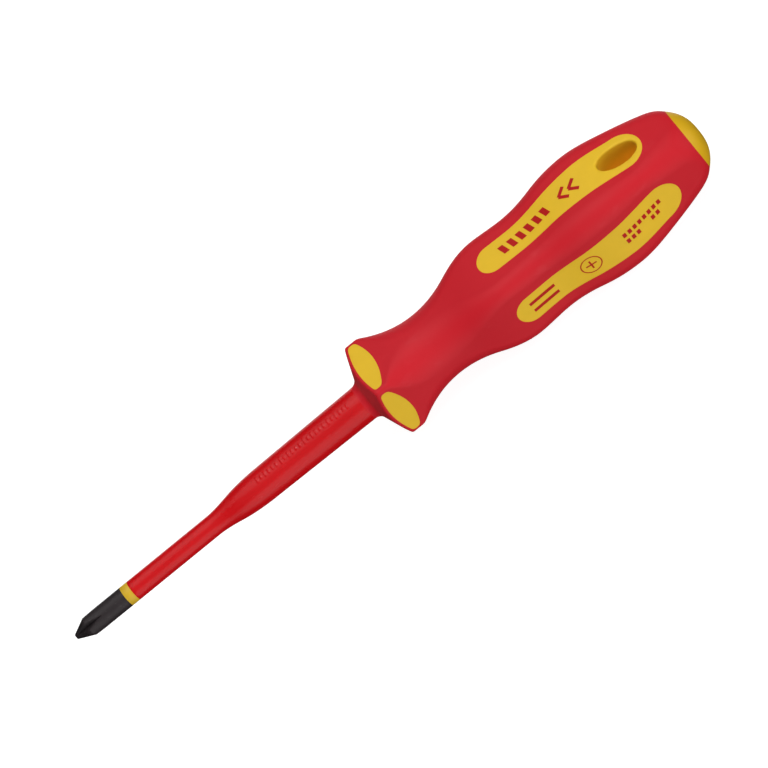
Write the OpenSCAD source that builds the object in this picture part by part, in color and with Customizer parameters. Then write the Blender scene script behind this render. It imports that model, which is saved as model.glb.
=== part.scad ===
// Insulated cross-point screwdriver, size 2, with a two-layer insulated blade and a
// three-shot handle. The tool axis is +X, the tip's end is the origin and +Z is up:
// two of the handle's four windows face up and down, and the hang hole runs along Z.

/* [Blade] */
// Length of the whole tool, from the tip's end to the top of the end cap
tool_len = 214; // [206:1:222]
// Diameter of the bare steel head behind the cross tip
head_d = 6; // [5.8:0.1:6]
// Length of steel left bare in front of the insulation
head_bare = 17.5; // [15:0.5:18]
// Diameter of the small flat at the end of the cross tip
tip_flat_d = 1.5; // [1.2:0.1:1.8]
// Angle between the tip's cone and the tool axis, in degrees
tip_half_angle = 26.5; // [24:0.5:28]
// Length of the four flutes, from the tip's end
flute_len = 9.9; // [9:0.1:11]
// Angle between a flute's two walls, in degrees
flute_angle = 92; // [85:1:95]
// Turn of the first flute about the tool axis, from the upward window, in degrees
flute_turn = 37; // [0:1:89]
// Diameter of the steel web left between the flutes at the tip's end
flute_web_d = 1.2; // [1.0:0.1:1.5]
// Diameter of the shank where it is turned down to carry the insulation
neck_d = 4.2; // [3.8:0.1:4.5]
// Width over the forged wings that lock the tang in the handle
wing_span = 10; // [8:0.5:11]
// Thickness of the forged wings
wing_t = 2.4; // [2:0.1:3]

/* [Insulation] */
// Diameter of the slim insulated shank, and of the yellow band behind the bare head
slim_d = 6; // [6:0.1:6.4]
// Length of the yellow inner layer that shows as a band
band_len = 2.5; // [2:0.1:3]
// Diameter of the yellow inner layer under the red outer one
inner_layer_d = 5.1; // [4.9:0.1:5.3]
// Distance from the tip's end to the start of the shoulder
shoulder_start = 47.5; // [44:0.5:52]
// Length of the smooth shoulder between the slim and the thick sleeve
shoulder_len = 18.5; // [14:0.5:22]
// Diameter of the thick sleeve just behind the shoulder
thick_front_d = 9.6; // [9:0.1:10]
// Diameter of the thick sleeve where it enters the handle
thick_rear_d = 10.4; // [10:0.1:10.6]

/* [Handle] */
// Length of the handle, from its front neck to the top of the end cap
handle_len = 114.2; // [113:0.1:115]
// Width of the guard over two opposite ridges
guard_ridge_d = 28.8; // [28:0.1:30]
// Width of the guard over two opposite flats
guard_flat_d = 21.2; // [21.2:0.1:22]
// Width over the ridges at the waist behind the guard
waist_ridge_d = 19.8; // [19.4:0.1:20.4]
// Width over the ridges at the front crest of the grip
crest_ridge_d = 30.3; // [30:0.1:31]
// Width over the ridges in the dip between the crest and the palm swell
dip_ridge_d = 29.3; // [29:0.1:29.6]
// Width over the ridges at the palm swell
swell_ridge_d = 34.9; // [34.4:0.1:35.4]
// Diameter of the end cap where it meets the grip
cap_d = 18.8; // [18:0.1:19]
// Height of the end cap's dome
dome_h = 3.8; // [3.6:0.1:4.2]
// Thickness of the soft grip over the flats of the handle body
skin_t = 2; // [1.8:0.1:2.2]

/* [Windows and hang hole] */
// Half width of a window at its front end
window_front_r = 4.6; // [4.4:0.1:5]
// Half width of a window at its rear end
window_rear_r = 6; // [5.8:0.1:6.2]
// Length of a window
window_len = 54; // [53:0.2:55]
// Half length of a guard window, across the tool
petal_half_w = 9.1; // [8.6:0.1:9.1]
// Width of the hang hole
hole_w = 7.2; // [6.8:0.1:7.6]
// Length of the hang hole along the tool
hole_len = 12; // [11:0.2:12.4]

/* [Hidden] */
$fn = 96;
far = 60;                                   // longer than the handle is wide

// Stations along the tool axis
neck_x = tool_len - handle_len;             // front end of the grip's neck
rim_x = neck_x + 5.9;                       // front of the guard's full width
guard_back_x = neck_x + 9.7;                // where the guard starts to fall to the waist
cap_x = tool_len - dome_h;                  // joint between the grip and the end cap
window_front_x = tool_len - 67.5;
window_rear_x = window_front_x + window_len;
hole_x = tool_len - 20.9;                   // middle of the hang hole
core_front_x = neck_x + 13;
core_step_x = neck_x + 41;
core_rear_x = tool_len - 34;
body_front_x = neck_x + 6;                  // front of the yellow trunk, behind the red face
sleeve_rear_x = neck_x + 34;                // end of the red layer inside the handle
layer_rear_x = sleeve_rear_x + 4;           // end of the yellow layer inside the handle
tang_rear_x = core_rear_x - 8;
wing_x = layer_rear_x + 8;                  // front of the forged wings
wing_len = 20;

// Radii inside the handle
sleeve_anchor_r = 4;
core_front_r = 6;
core_rear_r = 8;
face_rim_r = 9.4;                           // inner edge of the guard windows' front lips
cap_plug_r = 5;
cap_plug_len = 8;
cap_rib_r = 5.5;

// Half widths along the handle, as [x, half width, slope], joined by cubic curves
RIDGE = [
    [neck_x - 1, guard_ridge_d / 2, 0],
    [guard_back_x - 0.9, guard_ridge_d / 2, 0],
    [guard_back_x + 1.2, guard_ridge_d / 2 - 0.8, -0.54],
    [tool_len - 89.2, waist_ridge_d / 2, 0],
    [tool_len - 77, (waist_ridge_d + crest_ridge_d) / 4 - 0.05, 0.42],
    [tool_len - 65.6, crest_ridge_d / 2, 0],
    [tool_len - 55.2, dip_ridge_d / 2, 0],
    [tool_len - 45, (dip_ridge_d + swell_ridge_d) / 4 - 0.05, 0.25],
    [tool_len - 33.2, swell_ridge_d / 2, 0],
    [tool_len - 21.6, swell_ridge_d / 2 - 1.7, -0.225],
    [tool_len - 10.4, swell_ridge_d / 2 - 4.5, -0.29],
    [tool_len - 5.7, swell_ridge_d / 2 - 6.4, -0.62],
    [cap_x, cap_d / 2, -1]];
FLAT = [
    [neck_x - 1, guard_flat_d / 2, 0],
    [guard_back_x + 1.9, guard_flat_d / 2, 0],
    [tool_len - 89.2, waist_ridge_d / 2 - 0.25, 0],
    [tool_len - 77, (waist_ridge_d + crest_ridge_d) / 4 - 1.75, 0.2],
    [tool_len - 65.6, 0.79 * crest_ridge_d / 2, 0],
    [tool_len - 55.2, 0.8 * dip_ridge_d / 2, 0],
    [tool_len - 45, 0.81 * (dip_ridge_d + swell_ridge_d) / 4, 0.2],
    [tool_len - 33.2, 0.805 * swell_ridge_d / 2, 0],
    [tool_len - 21.6, 0.79 * (swell_ridge_d / 2 - 1.7), -0.19],
    [tool_len - 10.4, 10.7, -0.22],
    [cap_x, cap_d / 2 - 0.1, -0.55]];

// Value of a cubic curve at x, through knots of [x, value, slope]
function curve(knots, x, i = 0) =
    i < len(knots) - 2 && x > knots[i + 1][0] ? curve(knots, x, i + 1) :
    let (a = knots[i], b = knots[i + 1], h = b[0] - a[0],
         u = min(max((x - a[0]) / h, 0), 1), s = u * u * (3 - 2 * u))
    a[1] * (1 - s) + b[1] * s + h * u * (1 - u) * (a[2] * (1 - u) - b[2] * u);

function ridge(x) = curve(RIDGE, x);
function flat(x) = curve(FLAT, x);
// Radius of the section's corners, from its widths over flats and over ridges
function corner(x) = (sqrt(2) * flat(x) - ridge(x)) / (sqrt(2) - 1);

// Stations of the grip's sections: few on the straight guard, close on its curves
grip_step = 2.5;
GRIP_X = concat([neck_x - 1, guard_back_x - 0.9, guard_back_x, guard_back_x + 1.2],
                [for (x = [guard_back_x + 2.5 : grip_step : cap_x - 6]) x],
                [cap_x - 4, cap_x - 2.4, cap_x - 1, cap_x]);

// Turns a profile drawn as [distance along the tool, radius] about the tool axis
module turned() rotate([90, 0, 90]) rotate_extrude() mirror([1, -1]) children();

// Cuts or shapes the same thing once along Z and once along Y
module both_ways() for (turn = [0, 90]) rotate([turn, 0, 0]) children();

// Half width of a window's outline: a curve with a round end at each end
WINDOW = [
    [window_front_x, window_front_r, 0],
    [window_front_x + 15, window_front_r, 0.03],
    [window_rear_x - 13, window_rear_r + 0.15, 0],
    [window_rear_x, window_rear_r, 0]];
function round_end(d, r) = d >= r ? 1 : sqrt(max(0, 1 - pow(1 - d / r, 2)));
function window_half(x) = curve(WINDOW, x)
    * round_end(x - window_front_x, window_front_r)
    * round_end(window_rear_x - x, window_rear_r);
// Stations crowd towards both ends, where the outline turns quickly
window_steps = 36;
WINDOW_X = [for (i = [0 : window_steps])
    window_front_x + window_len * (1 - cos(180 * i / window_steps)) / 2];

module window_outline() polygon(concat(
    [for (x = WINDOW_X) [x, window_half(x)]],
    [for (i = [window_steps - 1 : -1 : 1]) [WINDOW_X[i], -window_half(WINDOW_X[i])]]));

// Radius of the arc that rises by sag over a chord of 2 * half
function arc_radius(half, sag) = (half * half + sag * sag) / (2 * sag);

// Guard window: its front and rear edges are arcs, and both ends are cut straight
petal_front_x = neck_x + 4.95;
petal_rear_x = neck_x + 10.7;
petal_front_r = arc_radius(petal_half_w, 1.4);
petal_rear_r = arc_radius(petal_half_w, 2.2);
module petal_outline() intersection() {
    translate([petal_front_x, -petal_half_w])
        square([petal_rear_x - petal_front_x, 2 * petal_half_w]);
    translate([petal_front_x + petal_front_r, 0]) circle(petal_front_r);
    translate([petal_rear_x - petal_rear_r, 0]) circle(petal_rear_r);
}

// The four guard windows, up to a width over two of them
module guard_windows(width) difference() {
    both_ways() linear_extrude(width, center = true) petal_outline();
    turned() translate([neck_x, 0]) square([body_front_x - neck_x, face_rim_r]);
}

// The four long windows, straight through the handle
module handle_windows() both_ways() linear_extrude(far, center = true) window_outline();

// Rounded square section of the grip at station x, as points in the YZ plane
corner_steps = 7;
function section(x) = let (r = corner(x), k = flat(x) - r)
    [for (q = [0 : 3], i = [0 : corner_steps])
        let (mid = 45 + 90 * q, a = 90 * q + 90 * i / corner_steps)
        [x, k * sqrt(2) * cos(mid) + r * cos(a), k * sqrt(2) * sin(mid) + r * sin(a)]];

// Outer form of the grip from its sections
module grip_skin() {
    m = 4 * (corner_steps + 1);
    n = len(GRIP_X);
    points = [for (x = GRIP_X) each section(x)];
    sides = [for (i = [0 : n - 2], j = [0 : m - 1])
        let (a = i * m + j, b = i * m + (j + 1) % m) each [[a, b, b + m], [a, b + m, a + m]]];
    polyhedron(points, concat(sides,
        [[for (j = [m - 1 : -1 : 0]) j], [for (j = [0 : m - 1]) (n - 1) * m + j]]), convexity = 6);
}

// Front of the handle, turned: flared neck, shallow cone face and rounded rim
module front_form() {
    rim_r = 0.9;
    rim_angle = 20;
    flare_r = 2.4;
    turned() polygon(concat(
        [[neck_x, 0]],
        [for (a = [0 : 15 : 60]) [neck_x + flare_r * sin(a), thick_rear_d / 2 + flare_r * (1 - cos(a))]],
        [for (a = [rim_angle : 17.5 : 90])
            [rim_x - rim_r * cos(a), guard_ridge_d / 2 - rim_r + rim_r * sin(a)]],
        [[rim_x, far], [tool_len, far], [tool_len, 0]]));
}

// Cross-point steel blade: tip, bare head, turned neck and a tang with two wings
module blade() color([0.16, 0.14, 0.15]) {
    cone_len = (head_d - tip_flat_d) / 2 / tan(tip_half_angle);
    flute_tilt = atan((head_d - flute_web_d) / 2 / flute_len);
    difference() {
        turned() polygon([[0, 0], [0, tip_flat_d / 2], [cone_len, head_d / 2],
            [head_bare, head_d / 2], [head_bare, neck_d / 2],
            [tang_rear_x, neck_d / 2], [tang_rear_x, 0]]);
        for (quarter = [0 : 3])
            rotate([flute_turn + 90 * quarter, 0, 0])
                translate([0, 0, flute_web_d / 2]) rotate([0, -flute_tilt, 0])
                    translate([-far / 2, 0, 0]) rotate([90, 0, 90]) linear_extrude(far)
                        polygon([[0, 0], [far * tan(flute_angle / 2), far],
                            [-far * tan(flute_angle / 2), far]]);
    }
    translate([wing_x, 0, -wing_t / 2]) linear_extrude(wing_t)
        polygon([[0, -neck_d / 2], [wing_len * 0.25, -wing_span / 2], [wing_len * 0.75, -wing_span / 2],
            [wing_len, -neck_d / 2], [wing_len, neck_d / 2], [wing_len * 0.75, wing_span / 2],
            [wing_len * 0.25, wing_span / 2], [0, neck_d / 2]]);
}

// Yellow inner layer, moulded on the neck: full diameter at the band only
module inner_insulation() color([0.86, 0.72, 0.2]) {
    turned() polygon([[head_bare, neck_d / 2], [head_bare, slim_d / 2],
        [head_bare + band_len, slim_d / 2], [head_bare + band_len, inner_layer_d / 2],
        [layer_rear_x, inner_layer_d / 2], [layer_rear_x, neck_d / 2]]);
}

// Red outer layer: slim sleeve, shoulder, thick sleeve and a ribbed end in the handle
module outer_insulation() color([0.8, 0.1, 0.12]) {
    SHOULDER = [
        [shoulder_start, slim_d / 2, 0],
        [shoulder_start + 0.42 * shoulder_len, (slim_d + thick_front_d) / 4, 0.18],
        [shoulder_start + shoulder_len, thick_front_d / 2, 0.01]];
    rib_pitch = 6;
    rib_h = 0.8;
    turned() polygon(concat(
        [[head_bare + band_len, inner_layer_d / 2], [head_bare + band_len, slim_d / 2]],
        [for (i = [0 : 12]) let (x = shoulder_start + shoulder_len * i / 12) [x, curve(SHOULDER, x)]],
        [[neck_x, thick_rear_d / 2], [body_front_x, thick_rear_d / 2], [body_front_x, sleeve_anchor_r]],
        [for (i = [1 : 3]) let (x = sleeve_rear_x - rib_pitch * (4 - i)) each
            [[x, sleeve_anchor_r], [x, sleeve_anchor_r + rib_h],
             [x + rib_pitch / 2, sleeve_anchor_r + rib_h], [x + rib_pitch / 2, sleeve_anchor_r]]],
        [[sleeve_rear_x, sleeve_anchor_r], [sleeve_rear_x, inner_layer_d / 2]]));
}

// Hard inner core, moulded round the tang, its wings and the end of the insulation
module core_form() {
    groove = 0.8;
    groove_pitch = 9;
    turned() polygon(concat(
        [[core_front_x, 0], [core_front_x, core_front_r], [core_step_x, core_front_r],
         [core_step_x + 2, core_rear_r]],
        [for (x = [core_step_x + 8 : groove_pitch : core_rear_x - 6]) each
            [[x, core_rear_r], [x, core_rear_r - groove],
             [x + 3, core_rear_r - groove], [x + 3, core_rear_r]]],
        [[core_rear_x, core_rear_r], [core_rear_x, 0]]));
}

module insulated_blade_form() {
    blade();
    inner_insulation();
    outer_insulation();
}

module inner_core() color([0.75, 0.6, 0.2]) difference() {
    core_form();
    insulated_blade_form();
}

// Turned trunk of the yellow body, one skin thickness under the flats
module trunk_form() {
    trunk_step = 3;
    TRUNK_X = concat([for (x = [body_front_x : trunk_step : cap_x - 1]) x], [cap_x]);
    turned() polygon(concat([[body_front_x, 0]], [for (x = TRUNK_X) [x, flat(x) - skin_t]], [[cap_x, 0]]));
}

// Islands on the trunk that fill the long windows, level with the grip's flats
module window_islands() {
    ISLAND_X = [for (x = GRIP_X) if (x > core_step_x) x];
    both_ways() intersection() {
        linear_extrude(far, center = true) window_outline();
        rotate([90, 0, 0]) linear_extrude(2 * core_rear_r, center = true) polygon(concat(
            [for (x = ISLAND_X) [x, flat(x)]],
            [for (i = [len(ISLAND_X) - 1 : -1 : 0]) [ISLAND_X[i], -flat(ISLAND_X[i])]]));
    }
}

module hang_hole() translate([hole_x, 0, 0]) {
    bore_pitch = hole_len - hole_w;
    for (side = [-1, 1]) translate([side * bore_pitch / 2, 0, 0])
        cylinder(d = hole_w, h = far, center = true);
    cube([bore_pitch, hole_w, far], center = true);
}

// Yellow hard body, moulded round the core, with the hang hole and the cap's socket
module handle_body() color([0.87, 0.72, 0.2]) difference() {
    union() {
        trunk_form();
        window_islands();
        guard_windows(guard_flat_d);
    }
    core_form();
    insulated_blade_form();
    end_cap();
    hang_hole();
}

// Red soft grip, moulded over the body and open at every window
module soft_grip() color([0.78, 0.13, 0.17]) difference() {
    intersection() {
        grip_skin();
        front_form();
    }
    trunk_form();
    handle_windows();
    guard_windows(far);
    insulated_blade_form();
}

// Domed end cap with a ribbed plug that is pressed into the body
module end_cap() color([0.83, 0.66, 0.2]) {
    dome_r = (pow(cap_d / 2, 2) + dome_h * dome_h) / (2 * dome_h);
    rib_len = 1.5;
    rib_x = cap_x - cap_plug_len + 2;
    turned() polygon(concat(
        [[cap_x - cap_plug_len, 0], [cap_x - cap_plug_len, cap_plug_r], [rib_x, cap_plug_r],
         [rib_x, cap_rib_r], [rib_x + rib_len, cap_rib_r], [rib_x + rib_len, cap_plug_r],
         [cap_x, cap_plug_r], [cap_x, cap_d / 2]],
        [for (i = [9 : -1 : 0]) let (r = cap_d / 2 * i / 10)
            [tool_len - dome_r + sqrt(dome_r * dome_r - r * r), r]]));
}

blade();
inner_insulation();
outer_insulation();
inner_core();
handle_body();
soft_grip();
end_cap();
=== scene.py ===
"""Insulated cross-point screwdriver, as the pieces that a maker would mould and forge.

Every new piece is a surface worked out with numpy around the CAD frame. The shape functions
work in millimetres along the tool axis X, and add_piece turns the result into metres.
"""

from math import radians
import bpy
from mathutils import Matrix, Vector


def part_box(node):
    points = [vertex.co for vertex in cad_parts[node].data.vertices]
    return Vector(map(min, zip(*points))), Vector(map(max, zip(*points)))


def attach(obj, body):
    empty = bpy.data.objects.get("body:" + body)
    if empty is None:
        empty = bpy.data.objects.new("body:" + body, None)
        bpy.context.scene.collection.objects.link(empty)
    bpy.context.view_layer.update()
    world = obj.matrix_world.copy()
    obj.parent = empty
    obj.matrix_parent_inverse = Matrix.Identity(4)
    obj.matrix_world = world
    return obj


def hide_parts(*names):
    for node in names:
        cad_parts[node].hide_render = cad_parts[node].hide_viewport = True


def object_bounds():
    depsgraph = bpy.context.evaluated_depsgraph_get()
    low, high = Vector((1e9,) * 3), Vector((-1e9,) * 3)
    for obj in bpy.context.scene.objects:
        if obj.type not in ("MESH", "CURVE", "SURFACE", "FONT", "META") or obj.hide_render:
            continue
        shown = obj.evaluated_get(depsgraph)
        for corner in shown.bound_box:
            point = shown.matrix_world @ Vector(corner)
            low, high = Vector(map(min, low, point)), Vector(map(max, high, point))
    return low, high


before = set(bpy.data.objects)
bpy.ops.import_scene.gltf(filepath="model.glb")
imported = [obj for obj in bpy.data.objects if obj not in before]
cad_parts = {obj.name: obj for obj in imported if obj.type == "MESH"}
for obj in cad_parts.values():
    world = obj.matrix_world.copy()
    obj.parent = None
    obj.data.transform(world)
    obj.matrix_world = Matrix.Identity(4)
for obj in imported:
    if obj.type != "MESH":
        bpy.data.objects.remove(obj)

from types import SimpleNamespace

import bmesh
import bpy
import numpy as np
from bpy.props import FloatProperty, FloatVectorProperty, PointerProperty
from bpy.types import Operator, Panel, PropertyGroup
from mathutils import Matrix, Vector

bl_info = {
    "name": "Insulated Screwdriver",
    "version": (1, 0, 0),
    "blender": (4, 5, 0),
    "location": "3D View > Sidebar > Screwdriver",
    "description": "Makes the pieces of an insulated cross-point screwdriver and a studio for it",
    "category": "Object",
}

MM = 0.001                       # metres in a millimetre
BODY = "root"                    # the tool has no moving part, so every piece rides on one body
CAD_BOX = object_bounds()


def mm(length):
    """A length in metres as millimetres."""
    return length / MM


def srgb(red, green, blue):
    """A colour given as 0 to 255 steps, as the linear values that shaders take."""
    steps = np.array([red, green, blue]) / 255
    return tuple(np.where(steps > 0.04045, ((steps + 0.055) / 1.055) ** 2.4, steps / 12.92))


# -------- sizes and colours


def length(name, description, default):
    """A length property, given in millimetres and kept in metres."""
    return FloatProperty(name=name, description=description, default=default * MM,
                         min=0, unit="LENGTH", precision=5)


def angle(name, description, default):
    """An angle property, given in degrees."""
    return FloatProperty(name=name, description=description, default=radians(default),
                         unit="ROTATION")


def colour(name, description, *steps):
    """A colour property, given as 0 to 255 steps."""
    return FloatVectorProperty(name=name, description=description, default=srgb(*steps),
                               subtype="COLOR", min=0, max=1)


class BladeSizes(PropertyGroup):
    tip_flat: length("Tip flat", "Diameter of the small flat at the end of the tip", 1.5)
    tip_angle: angle("Tip angle", "Angle between the tip's cone and the tool axis", 26.5)
    flute_length: length("Flute length", "Length of the four flutes", 9.9)
    flute_angle: angle("Flute angle", "Angle between the two walls of a flute", 92)
    flute_turn: angle("Flute turn", "Turn of the flutes about the tool axis", 37)
    web: length("Web", "Diameter of the steel left between the flutes at the tip's end", 1.2)
    shoulder_start: length("Shoulder start", "From the tip's end to the sleeve's shoulder", 47.5)
    shoulder_length: length("Shoulder length", "Length of the sleeve's shoulder", 18.5)
    thick_front: length("Thick sleeve", "Diameter of the sleeve behind its shoulder", 9.6)
    relief: length("Relief", "Height of the raised bars on the sleeve", 0.12)


class HandleSizes(PropertyGroup):
    guard: length("Guard", "Width of the finger guard over its ridges", 28.8)
    waist: length("Waist", "Width over the ridges behind the guard", 19.8)
    crest: length("Crest", "Width over the ridges at the front of the grip", 30.3)
    dip: length("Dip", "Width over the ridges between crest and swell", 29.3)
    swell: length("Swell", "Width over the ridges in the palm", 34.9)
    skin: length("Skin", "Thickness of the soft grip over the flats", 2)
    hole_length: length("Hole length", "Length of the hang hole along the tool", 11.8)
    hole_width: length("Hole width", "Width of the hang hole", 7)
    hole_rim: length("Hole rim", "Radius of the hang hole's rounded rim", 0.6)


class ToolColours(PropertyGroup):
    steel: colour("Steel", "Blackened steel of the blade", 40, 33, 35)
    sleeve: colour("Sleeve", "Outer insulation", 206, 18, 24)
    band: colour("Band", "Inner insulation", 216, 176, 44)
    grip: colour("Grip", "Soft grip", 205, 27, 40)
    body: colour("Body", "Hard body in the windows", 236, 192, 43)
    cap: colour("Cap", "End cap", 226, 178, 32)
    core: colour("Core", "Inner core", 205, 170, 70)
    ink: colour("Ink", "Printed marks", 182, 18, 16)


# -------- arithmetic of the shapes


def curve(knots, x):
    """Value at x of a cubic curve through knots of (x, value, slope).

    Between two knots the value blends smoothly from one to the other, and each knot's slope
    adds a hump that dies away towards both of them.
    """
    at, value, slope = np.array(knots, float).T
    i = np.clip(np.searchsorted(at, x, side="right") - 1, 0, len(at) - 2)
    h = at[i + 1] - at[i]
    u = np.clip((x - at[i]) / h, 0, 1)
    s = u * u * (3 - 2 * u)
    return (value[i] * (1 - s) + value[i + 1] * s
            + h * u * (1 - u) * (slope[i] * (1 - u) - slope[i + 1] * u))


def mix(a, b, s):
    """The value a share s of the way from a to b."""
    return a + (b - a) * s


def soft_step(x, low, high):
    """0 below low, 1 above high, and a smooth S between them."""
    u = np.clip((x - low) / (high - low), 0, 1)
    return u * u * (3 - 2 * u)


def round_end(depth, radius):
    """Height of a quarter circle at a depth behind its tip, as a share of its radius."""
    return np.sqrt(np.clip(1 - np.clip(1 - depth / radius, 0, 1) ** 2, 0, 1))


def crowded(low, high, count):
    """Stations from low to high that crowd towards both ends, as the cosine does."""
    return low + (high - low) * (1 - np.cos(np.linspace(0, np.pi, count))) / 2


def around(x, dist, way):
    """A grid of points at each row's station x, and at distances and directions round the axis."""
    x, dist, way = np.broadcast_arrays(x[:, None], dist, way)
    return np.stack([x, dist * np.cos(way), dist * np.sin(way)], -1)


def lathe(profile, count):
    """A grid that carries a profile of (x, radius) round the tool axis in count directions."""
    x, r = np.array(profile, float).T
    return around(x, r[:, None], radians(360) * np.arange(count) / count)


# -------- meshes from grids


def quads(rows, columns, wrap):
    """Corner numbers of the faces of a grid, as (rows - 1, columns or columns - 1, 4)."""
    i = np.arange(rows - 1)[:, None]
    j = np.arange(columns if wrap else columns - 1)[None, :]
    k = (j + 1) % columns
    return np.stack([i * columns + j, i * columns + k,
                     (i + 1) * columns + k, (i + 1) * columns + j], -1)


def sheet(grid, wrap=False, keep=None):
    """(points, faces) of a grid of points, of the faces that keep says, or of all of them."""
    faces = quads(*grid.shape[:2], wrap)
    return grid.reshape(-1, 3), faces[keep] if keep is not None else faces.reshape(-1, 4)


def walls(first, second, keep, wrap):
    """Strips that join two like grids along the border of the faces that keep says.

    A grid edge belongs to the border when just one of its two faces is kept.
    """
    rows, columns = first.shape[:2]
    index = np.arange(rows * columns).reshape(rows, columns)
    padded = np.pad(keep, ((1, 1), (0, 0)))
    i, j = np.nonzero(padded[1:] != padded[:-1])
    if wrap:
        beside = keep != np.roll(keep, 1, 1)
    else:
        padded = np.pad(keep, ((0, 0), (1, 1)))
        beside = padded[:, 1:] != padded[:, :-1]
    k, m = np.nonzero(beside)
    a = np.concatenate([index[i, j], index[k, m]])
    b = np.concatenate([index[i, (j + 1) % columns], index[k + 1, m]])
    offset = rows * columns
    points = np.concatenate([first.reshape(-1, 3), second.reshape(-1, 3)])
    return points, np.stack([a, b, b + offset, a + offset], -1)


def shell(outer, inner, keep, wrap):
    """A closed wall between two like grids, open where keep says no face is."""
    return [sheet(outer, wrap, keep), sheet(inner, wrap, keep), walls(outer, inner, keep, wrap)]


def add_object(name, data):
    """Adds an object that holds data to the scene."""
    made = bpy.data.objects.new(name, data)
    bpy.context.scene.collection.objects.link(made)
    return made


def add_piece(name, parts, finish, stands_for=(), crease=32):
    """Joins (points, faces) parts in millimetres into one closed object in metres.

    Points that meet are merged, faces with no area are dropped, and the rest point outwards.
    Edges sharper than crease degrees are shaded as edges.
    """
    meet = 0.0002 * MM
    points, faces, base = [], [], 0
    for part_points, part_faces in parts:
        points.append(part_points)
        faces.append(part_faces + base)
        base += len(part_points)
    mesh = bpy.data.meshes.new(name)
    mesh.from_pydata(np.concatenate(points) * MM, [], np.concatenate(faces).tolist())
    made = bmesh.new()
    made.from_mesh(mesh)
    bmesh.ops.remove_doubles(made, verts=made.verts, dist=meet)
    bmesh.ops.dissolve_degenerate(made, edges=made.edges, dist=meet)
    lone = [vert for vert in made.verts if not vert.link_faces]
    bmesh.ops.delete(made, geom=lone, context="VERTS")
    bmesh.ops.recalc_face_normals(made, faces=made.faces)
    open_edges = sum(not edge.is_manifold for edge in made.edges)
    print(f"{name}: {len(made.faces)} faces, {open_edges} open edges, "
          f"{made.calc_volume() * 1e9:.0f} mm3")
    made.to_mesh(mesh)
    made.free()
    mesh.shade_smooth()
    mesh.set_sharp_from_angle(angle=radians(crease))
    piece = add_object(name, mesh)
    mesh.materials.append(finish)
    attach(piece, BODY)
    if stands_for:
        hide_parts(*stands_for)
    return piece


# -------- shader arithmetic


def operator(operation):
    """Value's method for an operator, and the one for its reflected form."""
    return (lambda a, b: a.math(operation, a, b)), (lambda a, b: a.math(operation, b, a))


class Value:
    """A shader socket that takes part in sums: each operator adds its own Math node."""

    def __init__(self, finish, socket):
        self.finish = finish
        self.socket = socket

    def math(self, operation, a, b):
        return self.finish.node("ShaderNodeMath", {"operation": operation}, {0: a, 1: b})

    __add__, __radd__ = operator("ADD")
    __sub__, __rsub__ = operator("SUBTRACT")
    __mul__, __rmul__ = operator("MULTIPLY")


class Finish:
    """A material in the making, around one Principled shader."""

    def __init__(self, name):
        self.material = bpy.data.materials.new(name)
        self.material.use_nodes = True
        self.tree = self.material.node_tree
        self.tree.nodes.clear()
        self.place = self.node("ShaderNodeTexCoord", out="Object")

    def node(self, kind, settings=None, sockets=None, out=0):
        """Adds a node: its settings, then the values or links of its sockets.

        The result is the socket that out names or numbers.
        """
        made = self.tree.nodes.new(kind)
        for key, setting in (settings or {}).items():
            setattr(made, key, setting)
        for key, value in (sockets or {}).items():
            if isinstance(value, Value):
                self.tree.links.new(value.socket, made.inputs[key])
            else:
                made.inputs[key].default_value = value
        return Value(self, made.outputs[out]) if out is not None else None

    def noise(self, size, detail=2.0, rough=0.5, stretch=(1, 1, 1)):
        """Noise from 0 to 1 whose lumps are size millimetres across, longer along stretch."""
        scale = [1 / (size * MM * share) for share in stretch]
        place = self.node("ShaderNodeMapping", None, {"Vector": self.place, "Scale": scale})
        return self.node("ShaderNodeTexNoise", None, {"Vector": place, "Scale": 1.0,
                                                      "Detail": detail, "Roughness": rough})

    def specks(self, size, amount, stretch=(1, 1, 1)):
        """A mask of sparse marks: 1 where noise of that size is high, 0 elsewhere.

        Noise seldom tops 0.72, and amount is how far below that the marks begin.
        """
        edge = 0.72 - amount
        return self.node("ShaderNodeMapRange", {"interpolation_type": "SMOOTHSTEP"},
                         {"Value": self.noise(size, 3.0, 0.6, stretch),
                          "From Min": edge, "From Max": edge + 0.08})

    def near_axis(self, low, high):
        """A mask: 1 nearer the tool axis than low millimetres, 0 farther than high."""
        beside = self.node("ShaderNodeVectorMath", {"operation": "MULTIPLY"},
                           {0: self.place, 1: (0, 1, 1)})
        r = self.node("ShaderNodeVectorMath", {"operation": "LENGTH"}, {0: beside}, "Value")
        return self.node("ShaderNodeMapRange", {"interpolation_type": "SMOOTHSTEP"},
                         {"Value": r, "From Min": high * MM, "From Max": low * MM})

    def blend(self, a, b, share):
        """The colour a share of the way from a to b."""
        solid = [value if isinstance(value, Value) else (*value, 1) for value in (a, b)]
        return self.node("ShaderNodeMix", {"data_type": "RGBA"},
                         {0: share, 6: solid[0], 7: solid[1]}, out=2)

    def bump(self, height, depth, under=None):
        """A normal from a height field that is depth millimetres deep, over another normal."""
        sockets = {"Height": height, "Distance": depth * MM}
        if under:
            sockets["Normal"] = under
        return self.node("ShaderNodeBump", None, sockets)

    def done(self, **inputs):
        """Sets the shader's inputs by name, with spaces for underscores, and ends the material."""
        sockets = {key.replace("_", " "): value for key, value in inputs.items()}
        shader = self.node("ShaderNodeBsdfPrincipled", None, sockets)
        self.node("ShaderNodeOutputMaterial", None, {"Surface": shader}, out=None)
        return self.material


def shade(tint, share):
    """A colour made lighter or darker by a share of itself."""
    return tuple(min(1.0, channel * share) for channel in tint)


# -------- finishes


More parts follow.
